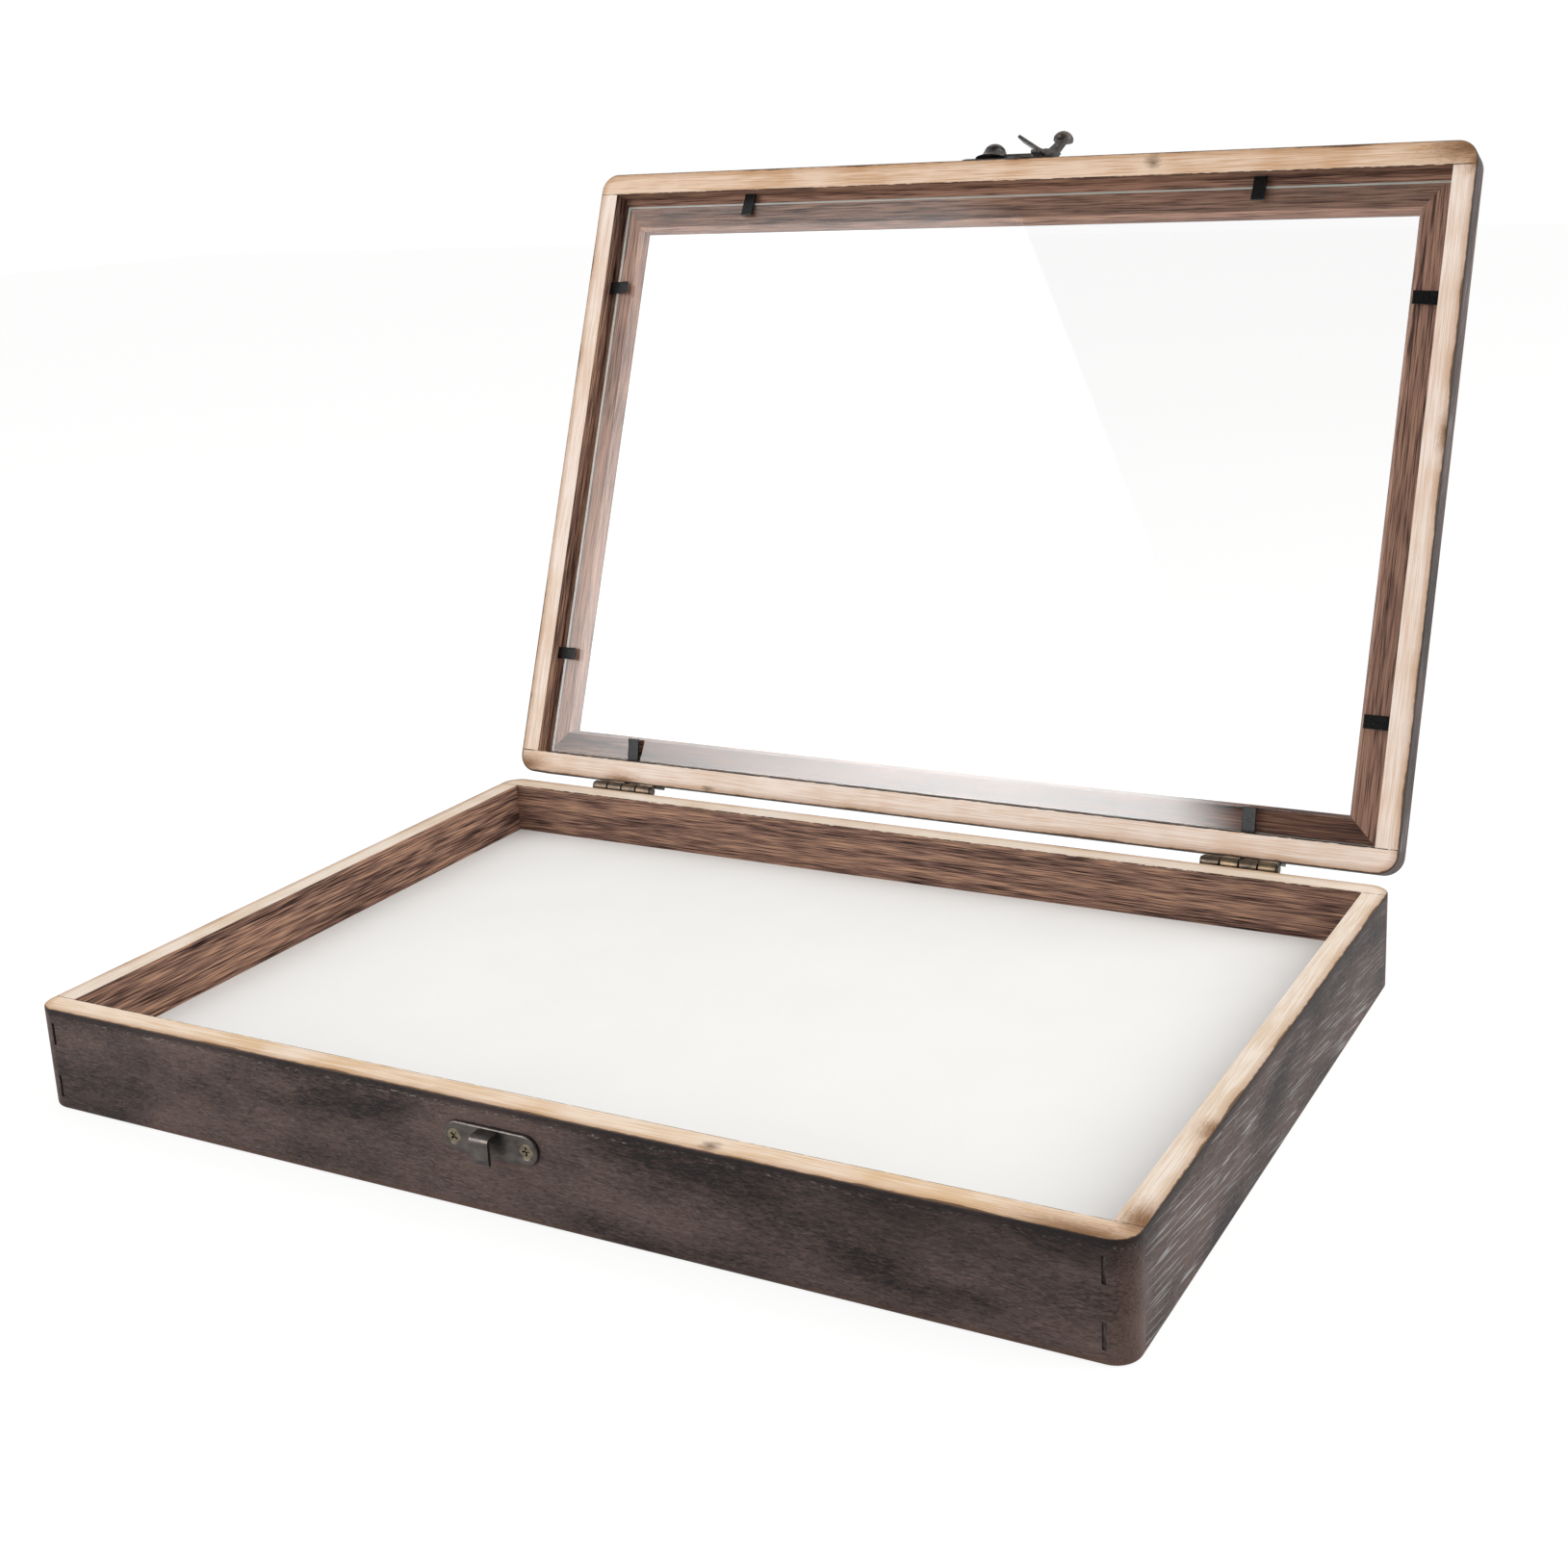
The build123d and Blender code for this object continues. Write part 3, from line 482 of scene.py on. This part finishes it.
def charred_wood(name, half, along, bare, stain, scorches, knots):
    """Waxed softwood: brushed charcoal outside with painted grey sheen strokes, brown stain inside, and bare
    pale wood on the sawn rim.
    """
    material, tree, shader = start_material(name)
    point = case_point(tree, half)
    away = case_distances(tree, point, half)
    sawn = {"Value": away["rim"], "From Min": rim_skin[0], "From Max": rim_skin[1]}
    sawn = add_node(tree, "MapRange", sawn)
    outer = {"Value": away["inset"], "From Min": char_inset[0], "From Max": char_inset[1]}
    outer = add_node(tree, "MapRange", outer)
    far = {"Value": away["far"], "From Min": far_skin[0], "From Max": far_skin[1]}
    far = add_node(tree, "MapRange", far)
    outside = add_node(tree, "Math", {0: outer, 1: far}, operation="MAXIMUM")

    figure = fibres(tree, point, along, figure_cell, 4.0, 1.2)
    frayed = add_node(tree, "MapRange", {"Value": figure, "To Min": -0.4, "To Max": 0.4})
    smears = marks(tree, point, scorches, frayed)
    burnt = add_node(tree, "Math", {0: smears, 1: 0.7}, operation="MULTIPLY")
    charred, brushing = charred_outside(tree, point, along, away, far, figure)
    charred = add_node(tree, "MixRGB", {"Fac": burnt, "Color1": charred, "Color2": linear(char_black)})
    stained, streaks = stained_inside(tree, point, along, stain)
    raw, grain = sawn_rim(tree, point, along, away, smears, bare, knots)

    side = add_node(tree, "MixRGB", {"Fac": outside, "Color1": stained, "Color2": charred})
    colour = add_node(tree, "MixRGB", {"Fac": sawn, "Color1": side, "Color2": raw})
    tree.links.new(colour.outputs[0], shader.inputs["Base Color"])
    shader.inputs["Specular IOR Level"].default_value = waxed_wood_specular
    gloss = {"Value": outside, "To Min": stained_roughness, "To Max": charred_roughness}
    gloss = add_node(tree, "MapRange", gloss)
    gloss = add_node(tree, "Math", {0: sawn, 1: sawn_roughness_more, 2: gloss}, operation="MULTIPLY_ADD")
    tree.links.new(gloss.outputs[0], shader.inputs["Roughness"])
    relief = add_node(tree, "MixRGB", {"Fac": outside, "Color1": streaks, "Color2": brushing})
    relief = add_node(tree, "MixRGB", {"Fac": sawn, "Color1": relief, "Color2": grain})
    bump = add_node(tree, "Bump", {"Strength": 0.5, "Distance": grain_relief, "Height": relief})
    tree.links.new(bump.outputs[0], shader.inputs["Normal"])
    return material


def finish_node(name, material):
    """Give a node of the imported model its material."""
    data = nodes[name].data
    data.materials.clear()
    data.materials.append(material)


# The front board is a shade warmer and has the knot
wall_stain = ("281a17", "7a5d52", "bd9478")
bare_pale = ("f0e2d4", "e0cab2")
bare_front = ("f0dcc8", "ddbb94")
base_scorches_and_dark_patch = [
    ((140, -106, 28.3), (22, 5.5, 9)),
    # A long patch that scorches the outer edge of the front rim and darkens the char of the front face below
    # it, over its right part
    ((105, -107, 22), (50, 1.5, 8)),
    ((149, -97, 28.3), (6.0, 9, 5)),
    ((150, -54, 28.3), (4.2, 7, 2)),
]
base_knots = [((53.7, -103.6, 28.3), (2.4, 2.0, 2))]
front_wood = charred_wood(
    "charred_base_front_wood", "base", x_axis, bare_front, wall_stain, base_scorches_and_dark_patch, base_knots
)
cross_wood = charred_wood(
    "charred_base_cross_wood", "base", x_axis, bare_pale, wall_stain, base_scorches_and_dark_patch, []
)
side_wood = charred_wood(
    "charred_base_side_wood", "base", y_axis, bare_pale, wall_stain, base_scorches_and_dark_patch, []
)
finish_node("base_front_board", front_wood)
finish_node("base_back_board", cross_wood)
finish_node("base_left_board", side_wood)
finish_node("base_right_board", side_wood)


# Corner staples: steel wire, driven through the cross boards before the case was charred.
# The flame turned their crowns black.
staple_soot = "2c2624"
staple_bare = "5c544f"
staple_rub_cell = (2.0, 0.6)

# Scorched steel: dull black with a few greyer rubs along the crown
staple_steel, tree, shader = start_material("scorched_staple_steel")
soot = fibres(tree, case_point(tree, "base"), z_axis, staple_rub_cell)
rub = add_node(tree, "MapRange", {"Value": soot, "From Min": 0.4, "From Max": 0.7})
colour = {"Fac": rub, "Color1": linear(staple_soot), "Color2": linear(staple_bare)}
colour = add_node(tree, "MixRGB", colour)
tree.links.new(colour.outputs[0], shader.inputs["Base Color"])
shader.inputs["Metallic"].default_value = 0.8
shader.inputs["Roughness"].default_value = 0.55
finish_node("base_corner_staples", staple_steel)


# Bottom panel: one sheet of 3 mm hardboard, cut to fill the rebate along the boards' lower inner edges
# and glued in. It is plain brown board, seen only when the case is turned over.
hardboard_dark = "5a3f2c"
hardboard_light = "7d5b40"
felt_cell = (1.6, 0.8)
felt_relief = 0.1 * mm

# Pressed hardboard: smooth and brown, with a fine felted surface
hardboard, tree, shader = start_material("pressed_hardboard")
felt = fibres(tree, case_point(tree, "base"), x_axis, felt_cell, 5.0)
tone = add_node(tree, "MapRange", {"Value": felt, "From Min": 0.3, "From Max": 0.75})
colour = {"Fac": tone, "Color1": linear(hardboard_dark), "Color2": linear(hardboard_light)}
colour = add_node(tree, "MixRGB", colour)
tree.links.new(colour.outputs[0], shader.inputs["Base Color"])
shader.inputs["Roughness"].default_value = 0.7
bump = add_node(tree, "Bump", {"Strength": 0.3, "Distance": felt_relief, "Height": felt})
tree.links.new(bump.outputs[0], shader.inputs["Normal"])
finish_node("base_bottom_panel", hardboard)


# Pinning foam: a sheet of white closed-cell foam, cut to the inside of the base and pressed in between
# the boards, so its top edges are drawn down against the walls.
foam_low, foam_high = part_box("pinning_foam")
foam_edge_round = 1.2 * mm
foam_shade = "f3f2ef"
foam_white = "f9f8f6"
foam_cell = 0.7
foam_swell = 35
foam_relief = 0.3 * mm
top_slack = 0.1 * mm


def square_block(low, high):
    """Start a bmesh as a block between two corners."""
    mesh = bmesh.new()
    bmesh.ops.create_cube(mesh, size=1)
    bmesh.ops.scale(mesh, vec=high - low, verts=mesh.verts)
    bmesh.ops.translate(mesh, vec=(high + low) / 2, verts=mesh.verts)
    return mesh


mesh = square_block(foam_low, foam_high)
top_edges = [edge for edge in mesh.edges if all(vert.co.z > foam_high.z - top_slack for vert in edge.verts)]
bmesh.ops.bevel(
    mesh, geom=top_edges, offset=foam_edge_round, segments=4, profile=0.5, affect="EDGES", material=-1
)
foam = finished_object("pinning_foam_sheet", mesh)

# White cell foam: matt, with the faint grain of cut cells and a slow swell that breaks up its flat top
foam_skin, tree, shader = start_material("white_cell_foam")
point = case_point(tree, "base")
cells = add_node(tree, "TexVoronoi", {"Vector": point, "Scale": 1 / foam_cell})
swell = add_node(tree, "TexNoise", {"Vector": point, "Scale": 1 / foam_swell, "Detail": 2.0})
colour = add_node(tree, "MixRGB", {"Fac": swell, "Color1": linear(foam_shade), "Color2": linear(foam_white)})
tree.links.new(colour.outputs[0], shader.inputs["Base Color"])
shader.inputs["Roughness"].default_value = 0.85
relief = add_node(tree, "Math", {0: cells, 1: 0.12, 2: swell}, operation="MULTIPLY_ADD")
bump = add_node(tree, "Bump", {"Strength": 0.4, "Distance": foam_relief, "Height": relief})
tree.links.new(bump.outputs[0], shader.inputs["Normal"])
foam.data.materials.append(foam_skin)
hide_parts("pinning_foam")
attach(foam, "base")


# Lid rails and face frame: the other part of the sawn case. The rails match the base boards,
# and the mitred face frame is glued over them, charred outside and stained where the pane lies on it.
ledge_light = ("48322c", "946f5e", "ba917a")
ledge_dark = ("241713", "583a2e", "86604c")
bare_lid_front = ("edd2ba", "d2a986")
bare_lid = ("f8e8dc", "e8cdb7")
lid_scorches = [
    ((148, -104, 29), (16, 6, 2)),
    ((150, -100, 29), (4, 5, 2)),
    ((-148, 104, 29), (9, 4, 2)),
    ((-108, 106, 29), (9, 2.5, 2)),
    ((150, -20, 29), (2.5, 9, 2)),
]
lid_knots = [((52.9, -103.2, 29), (2.4, 2.0, 2)), ((-74, 105, 29), (2.0, 0.9, 2))]

rail_front = charred_wood(
    "charred_lid_front_wood", "lid", x_axis, bare_lid_front, wall_stain, lid_scorches, lid_knots
)
rail_back = charred_wood(
    "charred_lid_back_wood", "lid", x_axis, bare_lid, wall_stain, lid_scorches, lid_knots
)
rail_side = charred_wood(
    "charred_lid_side_wood", "lid", y_axis, bare_lid, wall_stain, lid_scorches, []
)
frame_front = charred_wood("charred_frame_front_wood", "lid", x_axis, bare_lid, ledge_light, [], [])
frame_back = charred_wood("charred_frame_back_wood", "lid", x_axis, bare_lid, ledge_dark, [], [])
frame_side = charred_wood("charred_frame_side_wood", "lid", y_axis, bare_lid, ledge_light, [], [])
lid_woods = {
    "front": (rail_front, frame_front),
    "back": (rail_back, frame_back),
    "left": (rail_side, frame_side),
    "right": (rail_side, frame_side),
}
for side, (rail_wood, frame_wood) in lid_woods.items():
    finish_node("lid_" + side + "_rail", rail_wood)
    finish_node("face_frame_" + side, frame_wood)


# Glass pane: 2 mm float glass, cut to the inside of the rails, its edges ground.
# It is laid on the face frame, where the glazing points hold it.
pane_arris = 0.3 * mm
flat_face = 0.99
glass_ior = 1.52
glass_colour = "fefefe"
glass_shadow = "f6f8f7"
ground_colour = "e6f0eb"
ground_cell = (0.2, 0.6)
shut_pane = [lid_opening.inverted() @ vert.co for vert in nodes["glass_pane"].data.vertices]
pane_low = Vector(min(corner[axis] for corner in shut_pane) for axis in range(3))
pane_high = Vector(max(corner[axis] for corner in shut_pane) for axis in range(3))

mesh = square_block(pane_low, pane_high)
bmesh.ops.bevel(
    mesh, geom=mesh.edges[:], offset=pane_arris, segments=1, profile=0.5, affect="EDGES", material=-1
)
for face in mesh.faces:
    face.material_index = 0 if abs(face.normal.z) > flat_face else 1
bmesh.ops.transform(mesh, matrix=lid_opening, verts=mesh.verts)
pane = finished_object("glass_pane_ground", mesh)

# Float glass: clear and mirror smooth. It shows the wood behind it under the veil of the bright card
float_glass, tree, shader = start_material("float_glass")
shader.inputs["Base Color"].default_value = linear(glass_colour)
shader.inputs["Roughness"].default_value = 0.0
shader.inputs["IOR"].default_value = glass_ior
shader.inputs["Transmission Weight"].default_value = 1.0
clear = add_node(tree, "BsdfTransparent", {"Color": linear(glass_shadow)})
rays = add_node(tree, "LightPath").outputs
both = add_node(tree, "MixShader", {0: rays["Is Shadow Ray"], 1: shader, 2: clear})
tree.links.new(both.outputs[0], tree.nodes["Material Output"].inputs["Surface"])
pane.data.materials.append(float_glass)

# Ground glass edge: frosted and faintly green, a thin bright line all round the pane
ground_glass, tree, shader = start_material("ground_glass_edge")
scratches = fibres(tree, case_point(tree, "lid"), z_axis, ground_cell)
frost = add_node(tree, "MapRange", {"Value": scratches, "To Min": 0.35, "To Max": 0.65})
tree.links.new(frost.outputs[0], shader.inputs["Roughness"])
shader.inputs["Base Color"].default_value = linear(ground_colour)
shader.inputs["IOR"].default_value = glass_ior
shader.inputs["Transmission Weight"].default_value = 0.4
pane.data.materials.append(ground_glass)
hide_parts("glass_pane")
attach(pane, "lid")


# Glazing points: eight short strips of blackened spring steel, driven into the rails
# and bent down on the pane's edge.
point_easing = 0.12 * mm
weld_distance = 0.002 * mm
flat_angle = radians(1)
arris_angle = radians(30)
facet_angle = radians(20)
oxide_black = "0d0d0e"
oxide_grey = "2b2a2b"
oxide_cell = (1.5, 0.6)


def eased_copy(node, body, easing, material):
    """Replace a metal node with a copy that has its arrises eased, so that they catch the light."""
    mesh = bmesh.new()
    mesh.from_mesh(nodes[node].data)
    bmesh.ops.remove_doubles(mesh, verts=mesh.verts, dist=weld_distance)
    bmesh.ops.dissolve_limit(mesh, angle_limit=flat_angle, verts=mesh.verts, edges=mesh.edges)
    arrises = [edge for edge in mesh.edges if edge.is_manifold and edge.calc_face_angle() > arris_angle]
    bmesh.ops.bevel(
        mesh, geom=arrises, offset=easing, segments=2, profile=0.5, affect="EDGES", material=-1,
        clamp_overlap=True,
    )
    for edge in mesh.edges:
        edge.smooth = edge.is_manifold and edge.calc_face_angle() < facet_angle
    for face in mesh.faces:
        face.smooth = True
    piece = finished_object(node + "_eased", mesh)
    piece.data.materials.append(material)
    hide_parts(node)
    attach(piece, body)


# Blackened spring steel: oiled black oxide, a little grey where it was rubbed
black_steel, tree, shader = start_material("blackened_spring_steel")
oxide = fibres(tree, case_point(tree, "lid"), z_axis, oxide_cell)
rub = add_node(tree, "MapRange", {"Value": oxide, "From Min": 0.4, "From Max": 0.8})
colour = add_node(tree, "MixRGB", {"Fac": rub, "Color1": linear(oxide_black), "Color2": linear(oxide_grey)})
tree.links.new(colour.outputs[0], shader.inputs["Base Color"])
shader.inputs["Metallic"].default_value = 0.6
shader.inputs["Roughness"].default_value = 0.34
eased_copy("glazing_points", "lid", point_easing, black_steel)


# Hinges: small pressed stop hinges, plated and darkened. Each has two leaves that are screwed to the backs
# of base and lid, and a steel pin through their rolled knuckles.
leaf_easing = 0.15 * mm
bronze_brown = ("3a3530", "625345")
brass = "87745a"
cloud_cell = (3.0, 1.6)
fleck_cell = (0.8, 0.4)
roughness_spread = 0.08
bronze_relief = 0.05 * mm
hinge_brass = [((103.2, 109.5, 27.0), (2.6, 2.2, 1.6)), ((114.4, 108.6, 28.3), (2.6, 2.4, 2.4))]


def antique_bronze(name, half, tones, brass_places, brass_share, roughness):
    """Plated steel, darkened chemically: soft dark clouds, fine flecks, and brass where it was rubbed."""
    material, tree, shader = start_material(name)
    point = case_point(tree, half)
    cloud = fibres(tree, point, x_axis, cloud_cell, 3.0, 0.4)
    fleck = fibres(tree, point, x_axis, fleck_cell, 3.0)
    tone = add_node(tree, "MapRange", {"Value": cloud, "From Min": 0.3, "From Max": 0.7})
    colour = {"Fac": tone, "Color1": linear(tones[0]), "Color2": linear(tones[1])}
    colour = add_node(tree, "MixRGB", colour)
    ragged = add_node(tree, "MapRange", {"Value": fleck, "To Min": -0.5, "To Max": 0.5})
    rubbed = marks(tree, point, brass_places, ragged)
    haze = {"Value": fleck, "From Min": 0.50, "From Max": 0.75, "To Max": brass_share}
    haze = add_node(tree, "MapRange", haze)
    rubbed = add_node(tree, "Math", {0: rubbed, 1: haze}, operation="MAXIMUM")
    colour = add_node(tree, "MixRGB", {"Fac": rubbed, "Color1": colour, "Color2": linear(brass)})
    tree.links.new(colour.outputs[0], shader.inputs["Base Color"])
    shader.inputs["Metallic"].default_value = 0.9
    rough = {"Value": fleck, "To Min": roughness - roughness_spread, "To Max": roughness + roughness_spread}
    rough = add_node(tree, "MapRange", rough)
    tree.links.new(rough.outputs[0], shader.inputs["Roughness"])
    bump = add_node(tree, "Bump", {"Strength": 0.15, "Distance": bronze_relief, "Height": fleck})
    tree.links.new(bump.outputs[0], shader.inputs["Normal"])
    return material


# Brown bronze on the hinges, with two knuckles of the right hinge rubbed to brass
base_bronze = antique_bronze("brown_bronze_base", "base", bronze_brown, [], 0.08, 0.40)
lid_bronze = antique_bronze("brown_bronze_lid", "lid", bronze_brown, hinge_brass, 0.10, 0.38)
for side in ("left", "right"):
    eased_copy(side + "_hinge_base_leaf", "base", leaf_easing, base_bronze)
    eased_copy(side + "_hinge_lid_leaf", "lid", leaf_easing, lid_bronze)
    finish_node(side + "_hinge_pin", base_bronze)
finish_node("hinge_base_screws", base_bronze)
finish_node("hinge_lid_screws", lid_bronze)


# Latch: a pill-shaped plate with two screws on the lid's front rail, and a domed rivet.
# The cast hook turns on the rivet, and its knob and the rivet's head are worn bright.
plate_easing = 0.12 * mm
hook_easing = 0.25 * mm
hook_tones = ("363332", "565250")
hook_brass = [((-2.9, -113.5, 34.5), (3.2, 1.2, 3.2)), ((20.1, -117.0, 34.5), (4.2, 2.6, 4.2))]
latch_bronze = antique_bronze("grey_bronze_latch", "lid", hook_tones, [], 0.05, 0.42)
hook_bronze = antique_bronze("grey_bronze_hook", "lid", hook_tones, hook_brass, 0.05, 0.38)
eased_copy("latch_plate", "lid", plate_easing, latch_bronze)
finish_node("latch_rivet", hook_bronze)
finish_node("latch_screws", hook_bronze)
eased_copy("latch_hook", "latch_hook", hook_easing, hook_bronze)


# Catch: the matching plate, held on the base's front board by two screws of a lighter, tan bronze.
# A nose is pressed up out of it, and the hook's claw goes under that.
catch_tones = ("3b3836", "58524e")
catch_screw_tones = ("4e473b", "7d7361")
catch_bronze = antique_bronze("grey_bronze_catch", "base", catch_tones, [], 0.04, 0.42)
catch_screw_bronze = antique_bronze("tan_bronze_catch_screws", "base", catch_screw_tones, [], 0.1, 0.42)
eased_copy("catch_plate", "base", plate_easing, catch_bronze)
finish_node("catch_screws", catch_screw_bronze)
